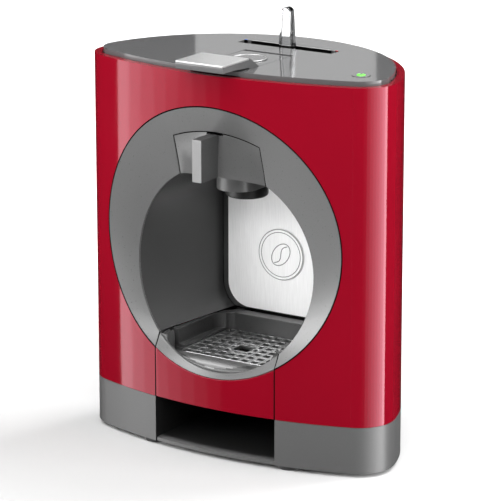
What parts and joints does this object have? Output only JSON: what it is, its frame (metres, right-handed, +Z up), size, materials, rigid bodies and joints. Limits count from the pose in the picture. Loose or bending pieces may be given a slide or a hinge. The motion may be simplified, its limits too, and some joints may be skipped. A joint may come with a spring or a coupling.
{
  "type": "pod coffee machine",
  "caption": "Oval upright pod coffee machine with a round brewing recess, capsule drawer, lock handle, temperature lever, height-adjustable drip tray and rear water tank.",
  "frame": {"origin": "centre of the bounding box in plan, on the surface the feet stand on", "axes": "+X to the machine's right as its user faces it, +Y to the rear, +Z up"},
  "size_m": [0.24, 0.1574, 0.305],
  "materials": {
    "red_shell": "high gloss",
    "dark_gloss": "gloss",
    "gray_satin": "satin",
    "base_gray": "satin",
    "recess_dark": "satin",
    "black_plastic": "matte",
    "silver_plate": "satin",
    "silver_trim": "satin",
    "tray_gray": "satin",
    "grid_metal": "polished",
    "clear_acrylic": "polished",
    "blue_mark": "gloss",
    "red_mark": "gloss",
    "green_light": "glowing",
    "smoke_tank": "polished",
    "rubber": "matte",
    "steel": "plain",
    "brass": "plain",
    "aluminium": "cast",
    "silicone": "translucent",
    "white_plastic": "satin",
    "board_green": "satin"
  },
  "bodies": {
    "root": {"base_housing": "base_gray", "base_plate": "base_gray", "rubber_feet": "rubber", "base_screws": "steel", "body_shell": "red_shell", "top_cover": "dark_gloss", "cover_screws": "steel", "chassis": "black_plastic", "head_frame": "black_plastic", "front_ring": "gray_satin", "recess_liner": "recess_dark", "back_frame": "recess_dark", "back_plate": "silver_plate", "plate_badge": "silver_trim", "guide_rods": "steel", "hinge_pin": "steel", "injector_hose": "silicone", "return_spring": "steel", "valve_block": "brass", "slot_trim": "silver_trim", "cold_mark": "blue_mark", "hot_mark": "red_mark", "button_switch": "black_plastic", "tank_spigot": "black_plastic", "pump": "steel", "pump_mounts": "rubber", "pump_bracket": "steel", "flow_meter": "white_plastic", "heater_block": "aluminium", "thermostats": "white_plastic", "heater_bracket": "steel", "suction_hose": "silicone", "meter_hose": "silicone", "pressure_hose": "silicone", "hot_water_hose": "silicone", "control_board": "board_green", "wiring": "black_plastic", "cord_gland": "rubber"},
    "handle": {"lock_handle": "dark_gloss", "handle_inlay": "silver_trim", "handle_badge": "silver_trim"},
    "injector": {"injector_carriage": "black_plastic", "injector_needle": "steel", "capsule_seal": "silicone"},
    "drawer": {"drawer_front": "gray_satin", "capsule_holder": "gray_satin", "outlet_nozzle": "black_plastic"},
    "lever": {"selector_lever": "clear_acrylic", "lever_arm": "black_plastic"},
    "button": {"power_button": "green_light"},
    "cradle": {"tray_cradle": "black_plastic"},
    "tray": {"tray_panel": "red_shell", "tray_bezel": "gray_satin", "tray_basin": "tray_gray"},
    "grid": {"drip_grid": "grid_metal"},
    "tank": {"water_tank": "smoke_tank", "tank_lid": "black_plastic", "tank_valve": "white_plastic"}
  },
  "joints": [
    {"name": "handle_hinge", "type": "hinge", "parent": "root", "child": "handle", "pos_m": [0, 0.0068, 0.2718], "axis": [-1, 0, 0], "range_deg": [0, 95]},
    {"name": "injector_slide", "type": "slide", "parent": "root", "child": "injector", "axis": [0, 0, 1], "range_m": [0, 0.01182], "deforming": ["injector_hose", "return_spring"]},
    {"name": "drawer_slide", "type": "slide", "parent": "root", "child": "drawer", "axis": [0, -1, 0], "range_m": [0, 0.08]},
    {"name": "lever_swing", "type": "hinge", "parent": "root", "child": "lever", "pos_m": [0, 0.0359, 0.208], "axis": [0, 1, 0], "range_deg": [-24, 24]},
    {"name": "button_press", "type": "slide", "parent": "root", "child": "button", "axis": [0, 0, -1], "range_m": [0, 0.0012], "stiffness_N_per_m": 350},
    {"name": "tray_height", "type": "slide", "parent": "root", "child": "cradle", "axis": [0, 0, 1], "range_m": [-0.027, 0]},
    {"name": "tray_pull", "type": "slide", "parent": "cradle", "child": "tray", "axis": [0, -1, 0], "range_m": [0, 0.075]},
    {"name": "grid_lift", "type": "slide", "parent": "tray", "child": "grid", "axis": [0, 0, 1], "range_m": [0, 0.03]},
    {"name": "tank_slide", "type": "slide", "parent": "root", "child": "tank", "axis": [0, 1, 0], "range_m": [0, 0.05]}
  ],
  "couplings": [
    {"joint": "injector_slide", "follows": "handle_hinge", "m_per_rad": 0.007108}
  ]
}
